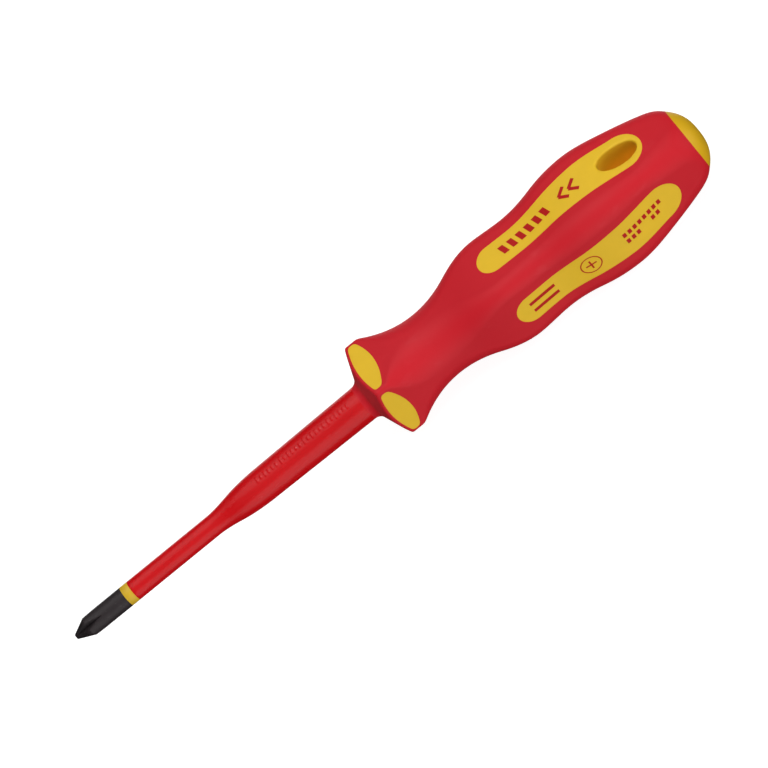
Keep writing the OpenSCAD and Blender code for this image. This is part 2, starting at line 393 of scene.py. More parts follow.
def blackened_steel(tint):
    """Forged and turned steel, chemically blackened, with rubbed edges and fine turning marks."""
    f = Finish("blackened_steel")
    cloud = f.noise(1.6, 4.0, 0.6)
    turning = f.noise(0.12, 2.0, 0.5, (1, 30, 30))
    rubbed = f.specks(0.5, 0.1, (3, 1, 1))
    base = f.blend(shade(tint, 0.7), shade(tint, 1.35), cloud)
    base = f.blend(base, srgb(84, 78, 78), rubbed * 0.3)
    # Painted shade: the steel is darkened the nearer it lies to the axis, in the flutes and on the
    # tip's cone
    base = f.blend(base, shade(tint, 0.3), f.near_axis(2.2, 2.9) * 0.7)
    grain = f.bump(f.noise(0.18, 3.0, 0.6), 0.02)
    return f.done(Base_Color=base, Roughness=0.46 + 0.14 * cloud - 0.08 * rubbed,
                  Specular_IOR_Level=0.3, Normal=f.bump(turning, 0.008, grain))


def extruded_red(tint):
    """Smooth red insulation with a soft shine, faint flow lines and a few hazy scuffs."""
    f = Finish("extruded_red")
    cloud = f.noise(5, 3.0, 0.5, (3, 1, 1))
    flow = f.noise(0.5, 3.0, 0.55, (40, 1, 1))
    scuff = f.specks(2.2, 0.1, (3, 1, 1))
    base = f.blend(shade(tint, 0.9), shade(tint, 1.06), cloud)
    base = f.blend(base, srgb(214, 70, 70), scuff * 0.05)
    peel = f.bump(f.noise(0.9, 2.0, 0.5), 0.012)
    return f.done(Base_Color=base, Roughness=0.23 + 0.08 * cloud + 0.1 * scuff,
                  Specular_IOR_Level=0.17, Normal=f.bump(flow, 0.006, peel))


def moulded_yellow(name, tint, gloss, depth, painted_hole_light=0.0):
    """Hard yellow plastic with a fine spark-eroded grain and slight clouding in the colour.

    Near the tool axis its colour can be painted more orange, by the share that the last argument
    gives, and made to glow a little: painted bounce light deep in the hang hole.
    """
    f = Finish(name)
    cloud = f.noise(4, 3.0, 0.5)
    grain = f.noise(0.22, 3.0, 0.6)
    base = f.blend(shade(tint, 0.95), shade(tint, 1.04), cloud)
    base = f.blend(base, shade(tint, 0.9), grain * 0.12)
    glow = {}
    # Painted bounce light in the hang hole: a more orange colour and a faint glow, though no lamp
    # is there
    if painted_hole_light:
        deep = f.near_axis(6, 10.2) * painted_hole_light
        base = f.blend(base, srgb(228, 160, 16), deep)
        glow["Emission_Color"] = f.blend((0, 0, 0), (0.16, 0.085, 0.004), deep)
        glow["Emission_Strength"] = 1
    worn = f.specks(3, 0.08, (2, 1, 1))
    return f.done(Base_Color=base, Roughness=gloss + 0.1 * grain + 0.06 * worn,
                  Specular_IOR_Level=0.22, Normal=f.bump(grain, depth), **glow)


def soft_touch_red(tint):
    """Rubbery red skin: matte, with a fine even grain, a soft sheen and faint handling marks."""
    f = Finish("soft_touch_red")
    cloud = f.noise(9, 3.0, 0.5)
    grain = f.noise(0.3, 3.0, 0.65)
    handled = f.specks(6, 0.12, (2, 1, 1))
    base = f.blend(shade(tint, 0.95), shade(tint, 1.04), cloud)
    base = f.blend(base, shade(tint, 0.86), grain * 0.16)
    base = f.blend(base, srgb(214, 70, 78), handled * 0.05)
    return f.done(Base_Color=base, Roughness=0.5 + 0.1 * grain + 0.05 * cloud - 0.06 * handled,
                  Specular_IOR_Level=0.2, Sheen_Weight=0.03, Sheen_Roughness=0.4,
                  Normal=f.bump(grain, 0.018))


def printed_ink(tint):
    """A thin layer of print, a little uneven where the pad met the grain."""
    f = Finish("printed_ink")
    patchy = f.noise(0.5, 3.0, 0.6)
    base = f.blend(shade(tint, 0.9), shade(tint, 1.15), patchy)
    return f.done(Base_Color=base, Roughness=0.42 + 0.12 * patchy, Specular_IOR_Level=0.2,
                  Normal=f.bump(f.noise(0.22, 3.0, 0.6), 0.006))


def studio_floor():
    """Pale paper that is lit mostly by its own glow, so that shadows on it stay faint."""
    f = Finish("studio_floor")
    fibre = f.noise(3, 3.0, 0.5)
    base = f.blend((0.3, 0.3, 0.3), (0.32, 0.32, 0.32), fibre)
    return f.done(Base_Color=base, Roughness=0.9, Emission_Color=(1, 1, 1, 1),
                  Emission_Strength=0.93)


# -------- drawing of the tool


def cad_extent(node):
    """(front end, rear end, half width on Y) of a CAD node, in millimetres."""
    low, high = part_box(node)
    return mm(low.x), mm(high.x), mm(high.y)


def blade_drawing(sizes):
    """Stations and radii of the blade and its insulation, from the frame and the sizes.

    bare and band are the rear ends of the bare steel and of the yellow band. head is the radius
    of head, band and slim sleeve, and entry that of the sleeve where it enters the grip.
    """
    d = SimpleNamespace()
    d.bare, d.layer_rear, d.head = cad_extent("inner_insulation")
    d.band, d.sleeve_rear, d.entry = cad_extent("outer_insulation")
    _, d.tang, d.wing = cad_extent("blade")
    d.neck = cad_extent("soft_grip")[0]
    d.shank = 2.1                                         # radius of neck and tang
    d.layer = 2.55                                        # radius of the thin inner layer
    d.anchor = 4.0                                        # sleeve radius inside the handle
    d.anchor_front = d.neck + 6
    d.ring = 60                                           # a ring halfway, for even faces
    start, long, thick = map(mm, (sizes.shoulder_start, sizes.shoulder_length, sizes.thick_front))
    d.shoulder = [(start, d.head, 0), (start + 0.42 * long, (d.head + thick / 2) / 2, 0.18),
                  (start + long, thick / 2, 0.01)]
    return d


def handle_drawing(sizes):
    """Stations and half widths of the handle, from the frame and the sizes."""
    d = SimpleNamespace()
    d.neck, d.cap, swell_flat = cad_extent("soft_grip")
    _, d.end, d.cap_r = cad_extent("end_cap")
    d.entry = cad_extent("outer_insulation")[2]
    d.skin = mm(sizes.skin)
    guard, waist, crest, dip, swell = (mm(getattr(sizes, name)) / 2 for name in
                                       ("guard", "waist", "crest", "dip", "swell"))
    back = d.neck + 9.7                                   # where the guard starts to narrow
    d.guard_r = guard
    d.guard_flat = 10.6                                   # half width of the guard over flats
    d.petal_half = 9.1                                    # half length of a guard window
    d.petal = (d.neck + 4.65, d.neck + 10.4)              # its front and rear edge
    d.petal_sag = (1.4, 2.2)                              # how far the two edges bulge
    d.ridge = [
        (d.neck - 1, guard, 0), (back - 0.9, guard, 0), (back + 1.2, guard - 0.8, -0.54),
        (d.end - 89.2, waist, 0), (d.end - 77, (waist + crest) / 2 - 0.05, 0.42),
        (d.end - 65.6, crest, 0), (d.end - 55.2, dip, 0),
        (d.end - 45, (dip + swell) / 2 - 0.05, 0.25), (d.end - 33.2, swell, 0),
        (d.end - 21.6, swell - 1.7, -0.225), (d.end - 10.4, swell - 4.5, -0.29),
        (d.end - 5.7, swell - 6.4, -0.62), (d.cap, d.cap_r, -1)]
    d.flat = [
        (d.neck - 1, d.guard_flat, 0), (back + 1.9, d.guard_flat, 0),
        (d.end - 89.2, waist - 0.25, 0), (d.end - 77, (waist + crest) / 2 - 1.75, 0.2),
        (d.end - 65.6, 0.79 * crest, 0), (d.end - 55.2, 0.8 * dip, 0),
        (d.end - 45, 0.81 * (dip + swell) / 2, 0.2), (d.end - 33.2, swell_flat, 0),
        (d.end - 21.6, 0.79 * (swell - 1.7), -0.19), (d.end - 10.4, 11, -0.22),
        (d.cap, d.cap_r - 0.1, -0.55)]
    d.window = (d.end - 67.5, d.end - 13.5)               # front and rear end of a long window
    front, rear = d.window
    d.window_knots = [(front, 4.6, 0), (front + 15, 4.6, 0.03), (rear - 13, 6.15, 0), (rear, 6, 0)]
    d.window_ends = (4.6, 6)
    d.hole = d.end - 20.9                                 # middle of the hang hole
    d.sunk = 0.03                                         # depth of the hard faces below the skin
    return d


def section(d, x):
    """(half width over flats, half width of a flat, corner radius) of the grip at x."""
    ridge, flat = curve(d.ridge, x), curve(d.flat, x)
    corner = (np.sqrt(2) * flat - ridge) / (np.sqrt(2) - 1)
    return flat, flat - corner, corner


def window_half(d, x):
    """Half width of a long window at x: a curve with a round end at each end."""
    front, rear = d.window
    front_r, rear_r = d.window_ends
    width = curve(d.window_knots, x) * round_end(x - front, front_r) * round_end(rear - x, rear_r)
    return np.where((x > front) & (x < rear), width, 0)


FLAT_SHARES = np.array([0, 0.14, 0.28, 0.42, 0.56, 0.7, 0.82, 0.92, 0.985, 1])
PETAL_COLUMN = 8                 # the flat share at which a guard window ends
CORNER_TURNS = radians(90) * np.arange(1, 16) / 16
FLARE_ROWS = 9
WAIST_ROWS = 25                  # rows of faces from the guard to the long windows
WINDOW_ROWS = 80                 # and along the long windows
WINDOW_SHARES = np.linspace(-1, 1, 25)
QUARTERS = ((1, 0), (0, 1), (-1, 0), (0, -1))    # cosine and sine of each quarter turn


def strip(d, x, across):
    """Outward and sideways places on a quarter of the section, from one flat to the next.

    x and across are (rows, flat columns): the station, and the place across the flat. The
    corner between the two flats is an arc at the last flat column's station.
    """
    x_corner = np.broadcast_to(x[:, -1:], (len(x), len(CORNER_TURNS)))
    flat = section(d, x)[0]
    _, half, corner = section(d, x_corner)
    stations = np.hstack([x, x_corner, x[:, ::-1]])
    out = np.hstack([flat, half + corner * np.cos(CORNER_TURNS), across[:, ::-1]])
    side = np.hstack([across, half + corner * np.sin(CORNER_TURNS), flat[:, ::-1]])
    return stations, out, side


def turned(x, out, side, quarter):
    """Points from stations and places outwards and sideways, turned by quarter turns."""
    c, s = QUARTERS[quarter]
    return np.stack([x, out * c - side * s, out * s + side * c], -1)


def arc_radius(half, sag):
    """Radius of the arc that rises by sag over a chord of twice half."""
    return (half * half + sag * sag) / (2 * sag)


def petal_edges(d, across):
    """Stations of a guard window's front and rear edge: two arcs that bulge away from it."""
    front_r, rear_r = (arc_radius(d.petal_half, sag) for sag in d.petal_sag)
    return (d.petal[0] + front_r - np.sqrt(front_r ** 2 - across ** 2),
            d.petal[1] - rear_r + np.sqrt(rear_r ** 2 - across ** 2))


def grip_grid(d):
    """Outer surface of the grip, from the neck to the end cap, with marks of its row numbers.

    Rows run round the tool and columns along it. The first rows carry the flared neck, the
    cone face and the rounded rim along each column's own direction. The next rows follow the
    front and rear edges of the guard windows, and the rest are plain sections. Where there is
    a long window, the two columns in the middle of a flat part to follow its edges.
    """
    g = FLAT_SHARES[None, :]
    g_petal = FLAT_SHARES[PETAL_COLUMN]
    inside = g <= g_petal

    def spread(edge, half):
        """Places across a flat of that half width, with the window's end column at edge."""
        return np.where(inside, edge * g / g_petal,
                        mix(edge, half, (g - g_petal) / (1 - g_petal)))

    # Guard windows: the end of one is cut straight, twice cut wide, with rounded corners
    share = crowded(0, 1, 13)[:, None]
    cut, cut_round = 1.15, 0.8
    past = np.clip((np.abs(2 * share - 1) * cut - (cut - cut_round)) / cut_round, 0, 1)
    edge = d.petal_half - cut_round * (1 - np.sqrt(1 - past ** 2))
    half = section(d, np.array([[d.petal[0]]]))[1]
    across = spread(edge, half)
    x_petal = mix(*petal_edges(d, np.minimum(across, edge)), share)
    petal = strip(d, x_petal, across)

    # Flare, cone face and rim: in each column's plane two arcs, joined by a straight line
    _, out, side = (part[:1] for part in petal)
    reach_out = np.hypot(out, side)
    flare_r, flare_turn, rim_r = 2.4, radians(60), 0.8
    cone_x = d.neck + flare_r * np.sin(flare_turn)
    cone_r = d.entry + flare_r * (1 - np.cos(flare_turn))
    face_x, face_r = d.neck + 5.054, d.guard_r - 0.59     # end of the cone face at a ridge
    rise = np.arctan2(face_r - cone_r, face_x - cone_x)
    centre_r = reach_out - rim_r
    centre_x = cone_x + (rim_r + (centre_r - cone_r) * np.cos(rise)) / np.sin(rise)
    turn = np.linspace(0, flare_turn, FLARE_ROWS)[:, None]
    ones = np.ones_like(reach_out)
    flare_x = (d.neck + flare_r * np.sin(turn)) * ones
    flare_out = (d.entry + flare_r * (1 - np.cos(turn))) * ones
    turn = np.linspace(rise, 0, 8)[:, None]
    rim_x = centre_x - rim_r * np.sin(turn)
    rim_out = centre_r + rim_r * np.cos(turn)
    s = np.linspace(0, 1, 7)[1:-1, None]
    front_x = np.vstack([flare_x, mix(flare_x[-1:], rim_x[:1], s), rim_x])
    front_out = np.vstack([flare_out, mix(flare_out[-1:], rim_out[:1], s), rim_out])
    front = front_x, front_out * out / reach_out, front_out * side / reach_out

    # Lip between the rim and the guard windows
    columns = len(FLAT_SHARES)
    s = np.linspace(0, 1, 4)[1:-1, None]
    lip_x = mix(rim_x[-1:, :columns], x_petal[:1], s)
    lip = strip(d, lip_x, np.broadcast_to(across[:1], lip_x.shape))

    # From the rear edges of the guard windows to the first plain section
    plain_from = d.neck + 13
    s = np.linspace(0, 1, 8)[1:-1, None]
    back_x = mix(x_petal[-1:], plain_from, s)
    back_half = section(d, back_x)[1]
    back_edge = back_half * mix(edge[-1:] / half, g_petal, s)
    back = strip(d, back_x, spread(back_edge, back_half))

    # Plain sections, crowded at the ends of the long windows
    front_end, rear_end = d.window
    x = np.concatenate([np.linspace(plain_from, front_end, WAIST_ROWS + 1)[:-1],
                        crowded(front_end, rear_end, WINDOW_ROWS + 1),
                        np.linspace(rear_end, d.cap, 15)[1:]])
    x = np.repeat(x[:, None], columns, 1)
    width, half = window_half(d, x), section(d, x)[1]
    plain = strip(d, x, mix(width, half, g))

    parts = [front, lip, petal, back, plain]
    places = [np.vstack(layer) for layer in zip(*parts)]
    grid = np.concatenate([turned(*places, quarter) for quarter in range(4)], 1)
    marks = SimpleNamespace()
    starts = np.cumsum([0] + [len(part[0]) for part in parts])
    marks.cone = FLARE_ROWS - 1
    marks.petal = (starts[2], starts[3] - 1)
    marks.window = (starts[4] + WAIST_ROWS, starts[4] + WAIST_ROWS + WINDOW_ROWS)
    return grid, marks


def skin_faces(grid, marks):
    """Which faces of the grip's grid the red skin has: all but those of its windows."""
    rows, columns = grid.shape[:2]
    keep = np.ones((rows - 1, columns), bool)
    first, last = marks.petal
    middle = (np.arange(4) + 1) * (columns // 4) - 1
    keep[marks.window[0]:marks.window[1], middle] = False
    for column in middle:
        beside = np.arange(column - PETAL_COLUMN, column + PETAL_COLUMN + 1) % columns
        keep[first:last, beside] = False
    return keep


def under_skin(d, grid):
    """The grip's grid drawn in towards the axis by the skin's thickness, not past the sleeve."""
    flat = curve(d.flat, grid[..., 0])
    r = np.hypot(grid[..., 1], grid[..., 2])
    inner = np.maximum(r * (flat - d.skin) / flat, np.minimum(r, d.entry))
    return grid * np.stack([np.ones_like(r), inner / r, inner / r], -1)


def sunk_grid(d, grid):
    """The grip's grid lowered by the little step between the skin and the hard faces."""
    share = 1 - d.sunk / curve(d.flat, grid[..., 0])
    return grid * np.stack([np.ones_like(share), share, share], -1)


def on_flat(d, x, across, quarter, lift=0.0):
    """Points at a station and a place across one of the hard faces, a little above it."""
    flat = curve(d.flat, x)
    share = 1 - d.sunk / flat
    return turned(x, flat * share + lift, across * share, quarter)


def window_face(d, x, quarter):
    """Grid over a long window at the stations x, from one edge of it to the other."""
    across = window_half(d, x)[:, None] * WINDOW_SHARES
    return on_flat(d, x[:, None] * np.ones_like(across), across, quarter)


def hole_outline(half_length, half_width, turn):
    """Distance from the middle of the hang hole to its edge, in a direction.

    On the edge, the two places as shares of the half sizes, each to a power, add up to 1.
    """
    power = 2.15
    return ((np.abs(np.cos(turn)) / half_length) ** power
            + (np.abs(np.sin(turn)) / half_width) ** power) ** (-1 / power)


def hole_face(d, sizes, x, quarter):
    """Rear end of a window with the hang hole in it, down to the middle of the handle.

    A ring of points follows the window's edge. Each looks straight at the middle of the hole,
    and its row of points runs over the face, round the rim on a quarter circle, and down the
    wall of the hole.
    """
    edge = window_half(d, x)
    row = WINDOW_SHARES * edge[0]
    ring_x = np.concatenate([np.full(len(row), x[0]), x[1:], x[-2:0:-1]])
    ring_t = np.concatenate([row, edge[1:], -edge[-2:0:-1]])
    turn = np.arctan2(ring_t, ring_x - d.hole)
    rim = mm(sizes.hole_rim)
    half_l, half_w = mm(sizes.hole_length) / 2, mm(sizes.hole_width) / 2
    ring_r = np.hypot(ring_t, ring_x - d.hole)
    lip_r = hole_outline(half_l + rim, half_w + rim, turn)
    wall_r = hole_outline(half_l, half_w, turn)
    s = np.linspace(0, 1, 9)[:, None]
    face_r = mix(ring_r, lip_r, s)
    bend = np.linspace(0, radians(90), 8)[1:, None]
    bend_r = mix(lip_r, wall_r, np.sin(bend))
    down = np.linspace(1, 0, 13)[1:, None]
    radius = np.vstack([face_r, bend_r, np.repeat(wall_r[None], len(down), 0)])
    place_x, place_t = d.hole + radius * np.cos(turn), radius * np.sin(turn)
    grid = on_flat(d, place_x, place_t, quarter)
    sink = np.vstack([np.zeros_like(face_r), rim * (1 - np.cos(bend)) * np.ones_like(turn)])
    height = np.abs(grid[:len(sink), :, 2]) - sink
    grid[..., 2] = np.sign(grid[..., 2]) * np.vstack([height, height[-1] * down])
    return grid


# -------- surfaces of the pieces


def blade_grid(d, sizes):
    """The blade as distances from the axis over station and direction.

    At the head the distance is the smaller of the turned profile and the wall of the nearest
    flute, a V whose bottom climbs away from the axis. Columns follow the edge between the two,
    so it stays crisp. Behind the head it is the larger of the neck and the flat wings.
    """
    head, flat = d.head, mm(sizes.tip_flat) / 2
    cone_end = (head - flat) / np.tan(sizes.tip_angle)
    web, flute_end, bevel = mm(sizes.web) / 2, mm(sizes.flute_length), 0.1
    tilt = np.arctan2(head - web, flute_end)
    lean = 1 / (np.tan(sizes.flute_angle / 2) * np.cos(tilt))
    x = np.concatenate([np.linspace(0, cone_end, 31), np.linspace(cone_end, flute_end, 56)[1:],
                        [flute_end + 0.05, 12, 15, d.bare - bevel, d.bare]])
    r = np.interp(x, [0, cone_end, d.bare - bevel, d.bare], [flat, head, head, head - bevel])
    bottom = web + x * np.tan(tilt)
    ratio = np.clip(bottom / r / np.sqrt(1 + lean ** 2), 0, 1)
    edge = np.clip(np.arccos(ratio) - np.arctan(lean), 0, radians(44.9))
    inner, outer = np.linspace(0, 1, 8), np.linspace(0, 1, 8)[1:]
    turn = np.hstack([edge[:, None] * inner, mix(edge[:, None], radians(45), outer)])
    wall = bottom[:, None] / np.maximum(np.cos(turn) - lean * np.sin(turn), 1e-3)
    dist = np.minimum(wall, r[:, None])
    dist = np.hstack([dist, dist[:, -2:0:-1]])
    turn = np.hstack([turn, radians(90) - turn[:, -2:0:-1]])
    turn = np.hstack([turn + radians(90) * q for q in range(4)])
    dist = np.tile(dist, 4)

    # Neck and tang, with the wings as a rectangle that widens and narrows
    wing_front, wing_half_thick, chamfer = d.layer_rear + 8, 1.2, 0.4
    wing_x = wing_front + np.array([-0.1, 0, 5, 15, 20, 20.1])
    rear_x = np.array([d.bare, d.bare + 1, d.ring, *wing_x, d.tang - chamfer, d.tang])
    width = np.array([0, 0, 0, 0, d.shank, d.wing, d.wing, d.shank, 0, 0, 0])
    rear_turn = np.repeat(turn[-1:], len(rear_x), 0)
    way = rear_turn + sizes.flute_turn
    box = np.minimum(width[:, None] / np.maximum(np.abs(np.cos(way)), 1e-6),
                     wing_half_thick / np.maximum(np.abs(np.sin(way)), 1e-6))
    rear = np.maximum(box, d.shank)
    rear[-1] = d.shank - chamfer

    x = np.concatenate([[0], x, rear_x, [d.tang]])
    dist = np.vstack([0 * dist[:1], dist, rear, 0 * dist[:1]])
    way = np.vstack([turn[:1], turn, rear_turn, rear_turn[:1]]) + sizes.flute_turn
    return around(x, dist, way + radians(90))


def band_profile(d):
    """Closed section of the inner insulation: full at the band, thin under the sleeve."""
    soft, bulge = 0.06, 0.3 * 0.06
    return [(d.bare, d.shank), (d.bare, d.head - soft), (d.bare + bulge, d.head - bulge),
            (d.bare + soft, d.head), (d.band - soft, d.head), (d.band - bulge, d.head - bulge),
            (d.band, d.head - soft), (d.band, d.layer), (d.ring, d.layer),
            (d.layer_rear, d.layer), (d.layer_rear, d.shank), (d.ring, d.shank), (d.bare, d.shank)]


def sleeve_radius(d, x):
    """Outside radius of the sleeve: slim, shoulder, then a straight taper to the handle."""
    start, _, full = d.shoulder
    taper = mix(full[1], d.entry, np.clip((x - full[0]) / (d.neck - full[0]), 0, 1))
    return np.where(x > full[0], taper, np.where(x < start[0], d.head, curve(d.shoulder, x)))


BARS_FROM, BARS_TO = 65.2, 96.5                  # stations between which the raised bars stand


def sleeve_relief(x, along):
    """Height from 0 to 1 of the raised bars: soft-edged boxes in station and place round it."""
    height = np.zeros(np.broadcast(x, along).shape)
    edge, pitch, gap, half_wide = 0.13, 1.32, 0.25, 0.2
    half_tall = (0.95, 0.55, 0.95, 0.75, 0.55, 0.75)
    group = len(half_tall)
    for number in range(4 * group):
        middle = BARS_FROM + pitch * number + gap * (number // group)
        inside_x = soft_step(half_wide - np.abs(x - middle), -edge, edge)
        inside_t = soft_step(half_tall[number % group] - np.abs(along), -edge, edge)
        height = np.maximum(height, inside_x * inside_t)
    return height


def sleeve_grid(d, sizes):
    """The sleeve's outside: its radius over station and direction, plus the raised bars.

    Stations and directions are dense where the bars are. The inside is the bore over the inner
    layer, and the rear end is thinner and ribbed, where the handle holds it.
    """
    line, dense = radians(108), 0.27
    near = np.linspace(-dense, dense, 31)
    rest = np.linspace(dense, radians(360) - dense, 98)[1:-1]
    turn = np.concatenate([near, rest]) + line
    soft = 0.05
    start = d.shoulder[0][0]
    x = np.concatenate([[d.band, d.band + 0.3 * soft, d.band + soft],
                        np.linspace(d.band + 1, start - 0.5, 14),
                        np.linspace(start, BARS_FROM - 1.2, 34),
                        np.linspace(BARS_FROM - 1, BARS_TO + 1, 223), [d.neck, d.anchor_front]])
    r = sleeve_radius(d, x)
    r[:2] -= (soft, 0.3 * soft)
    bars_r = 5
    along = (turn - line) * bars_r
    bars = sleeve_relief(x[:, None], along[None, :])
    dist = r[:, None] + mm(sizes.relief) * bars
    rib, pitch = 0.8, 6
    rear = [(d.anchor_front, d.anchor)]
    for count in (3, 2, 1):
        at = d.sleeve_rear - pitch * count
        rear += [(at, d.anchor), (at, d.anchor + rib), (at + pitch / 2, d.anchor + rib),
                 (at + pitch / 2, d.anchor)]
    rear += [(d.sleeve_rear, d.anchor), (d.sleeve_rear, d.layer), (d.neck, d.layer),
             (d.ring, d.layer), (d.band, d.layer)]
    tail_x, tail_r = np.array(rear, float).T
    x = np.concatenate([x, tail_x, x[:1]])
    dist = np.vstack([dist, np.repeat(tail_r[:, None], len(turn), 1), dist[:1]])
    return around(x, dist, turn)


def plug_profile(d):
    """Outline of the end cap's plug, from the flange to its middle, as (x, radius)."""
    plug_r, rib_r, rib_front, rib_rear, end = 5.0, 5.5, d.cap - 6, d.cap - 4.5, d.cap - 8
    return [(d.cap, plug_r), (rib_rear, plug_r), (rib_rear, rib_r), (rib_front, rib_r),
            (rib_front, plug_r), (end, plug_r), (end, 0)]


def cap_grid(d):
    """The end cap: a dome that falls with a power of the radius, a flange and a ribbed plug."""
    power, rise = 2.6, d.end - d.cap
    share = np.sin(np.linspace(0, radians(90), 40))
    dome = [(d.end - rise * u ** power, d.cap_r * u) for u in share]
    return lathe(dome + plug_profile(d), 160)


def body_parts(d, sizes, grid, marks):
    """The hard body: what the skin leaves open, at full height, and a trunk under the skin.

    The windows' faces join the trunk by walls on the skin's own edges, so the two pieces meet
    exactly. The trunk goes on into a bore for the sleeve and the core, and into a socket for
    the end cap's plug. The hang hole runs from one face to the opposite one.
    """
    top, low = sunk_grid(d, grid), under_skin(d, grid)
    keep = skin_faces(grid, marks)
    keep_low = keep.copy()
    keep_low[:marks.cone] = False
    petal_faces = ~keep
    petal_faces[marks.petal[1]:] = False
    parts = [sheet(low, True, keep_low), sheet(top, True, petal_faces)]
    points, faces = walls(top, low, keep, True)
    ends = (faces[:, 0] < grid.shape[1]) | (faces[:, 0] >= (grid.shape[0] - 1) * grid.shape[1])
    parts.append((points, faces[~ends]))

    first, last = marks.window
    x = grid[first:last + 1, 0, 0]
    split = int(np.searchsorted(x, d.hole - 9.5))         # the row where the hole's face starts
    for quarter in (0, 2):
        parts.append(sheet(window_face(d, x, quarter)))
    for quarter in (1, 3):
        parts.append(sheet(window_face(d, x[:split + 1], quarter)))
        parts.append(sheet(hole_face(d, sizes, x[split:], quarter), True))

    def rings(start, profile):
        """Rings at (x, radius) that carry on from a row, each point in its own direction."""
        r = np.hypot(start[:, 1], start[:, 2])
        way = start[:, 1:] / r[:, None]
        rows = [np.column_stack([np.full(len(r), at), way * radius]) for at, radius in profile]
        return np.stack([start, *rows])

    core_front_r, core_r, core_front, core_rear = 6, 8, d.neck + 13, d.end - 34
    bore = [(core_front, d.entry), (core_front, core_front_r), (core_front + 28, core_front_r),
            (core_front + 30, core_r), (core_rear, core_r), (core_rear, 0)]
    parts.append(sheet(rings(low[marks.cone], bore), True))
    parts.append(sheet(rings(low[-1], plug_profile(d)), True))
    return parts


PRINT_TOP, PRINT_ROOT = 0.012, -0.04             # heights of a print's two sides over its face


def mark(d, quarter, corners_x, corners_t):
    """A printed bar: a thin slab between the ends of a front edge and those of a rear edge."""
    s, v = np.linspace(0, 1, 9)[:, None], np.array([[0, 1]])
    x, t = (mix(mix(c[0], c[1], s), mix(c[2], c[3], s), v) for c in (corners_x, corners_t))
    keep = np.ones((x.shape[0] - 1, x.shape[1] - 1), bool)
    return shell(on_flat(d, x, t, quarter, PRINT_TOP), on_flat(d, x, t, quarter, PRINT_ROOT),
                 keep, False)


def stroke(d, quarter, start, end, width):
    """A printed stroke of one width between two places."""
    (x0, t0), (x1, t1) = start, end
    share = width / 2 / np.hypot(x1 - x0, t1 - t0)
    x, t = (t1 - t0) * share, (x0 - x1) * share
    return mark(d, quarter, (x0 - x, x1 - x, x0 + x, x1 + x), (t0 - t, t1 - t, t0 + t, t1 + t))


def ring_mark(d, quarter, middle, radius, width):
    """A printed ring."""
    turn = np.linspace(0, radians(360), 49)[:-1, None]
    r = radius + width / 2 * np.array([-1, 1])[None, :]
    x, t = middle[0] + r * np.cos(turn), middle[1] + r * np.sin(turn)
    top, low = (on_flat(d, x, t, quarter, lift) for lift in (PRINT_TOP, PRINT_ROOT))
    loop = np.stack([top[:, 0], top[:, 1], low[:, 1], low[:, 0]], 0)
    return [sheet(np.concatenate([loop, loop[:1]]), True)]


# -------- operators


class SCREWDRIVER_OT_blade(Operator):
    """Makes the cross-point steel blade with its tang"""
    bl_idname = "screwdriver.blade"
    bl_label = "Blade"

    def execute(self, context):
        sizes, colours = context.scene.blade_sizes, context.scene.tool_colours
        grid = blade_grid(blade_drawing(sizes), sizes)
        add_piece("cross_point_blade", [sheet(grid, True)], blackened_steel(colours.steel),
                  ["blade"], crease=24)
        return {"FINISHED"}


class SCREWDRIVER_OT_insulation(Operator):
    """Makes the yellow inner layer and the red sleeve over it"""
    bl_idname = "screwdriver.insulation"
    bl_label = "Insulation"

    def execute(self, context):
        sizes, colours = context.scene.blade_sizes, context.scene.tool_colours
        d = blade_drawing(sizes)
        add_piece("yellow_inner_layer", [sheet(lathe(band_profile(d), 128), True)],
                  moulded_yellow("extruded_yellow", colours.band, 0.38, 0.006),
                  ["inner_insulation"])
        add_piece("red_sleeve", [sheet(sleeve_grid(d, sizes), True)],
                  extruded_red(colours.sleeve), ["outer_insulation"], crease=60)
        return {"FINISHED"}


class SCREWDRIVER_OT_core(Operator):
    """Gives the hidden core its finish"""
    bl_idname = "screwdriver.core"
    bl_label = "Core"

    def execute(self, context):
        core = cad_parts["inner_core"]
        core.data.materials.clear()
        core.data.materials.append(
            moulded_yellow("core_plastic", context.scene.tool_colours.core, 0.5, 0.03))
        return {"FINISHED"}


class SCREWDRIVER_OT_handle(Operator):
    """Makes the hard body and the soft grip round it, from one shared surface"""
    bl_idname = "screwdriver.handle"
    bl_label = "Handle"

    def execute(self, context):
        sizes, colours = context.scene.handle_sizes, context.scene.tool_colours
        d = handle_drawing(sizes)
        grid, marks = grip_grid(d)
        # The body's finish paints bounce light into the hang hole: a more orange colour and a
        # faint glow
        add_piece("yellow_body", body_parts(d, sizes, grid, marks),
                  moulded_yellow("satin_yellow", colours.body, 0.42, 0.012, 0.75),
                  ["handle_body"])
        keep = skin_faces(grid, marks)
        add_piece("red_soft_grip", shell(grid, under_skin(d, grid), keep, True),
                  soft_touch_red(colours.grip), ["soft_grip"])
        return {"FINISHED"}


class SCREWDRIVER_OT_end_cap(Operator):
    """Makes the domed end cap"""
    bl_idname = "screwdriver.end_cap"
    bl_label = "End cap"

    def execute(self, context):
        d = handle_drawing(context.scene.handle_sizes)
        add_piece("domed_end_cap", [sheet(cap_grid(d), True)],
                  moulded_yellow("cap_yellow", context.scene.tool_colours.cap, 0.34, 0.008),
                  ["end_cap"])
        return {"FINISHED"}


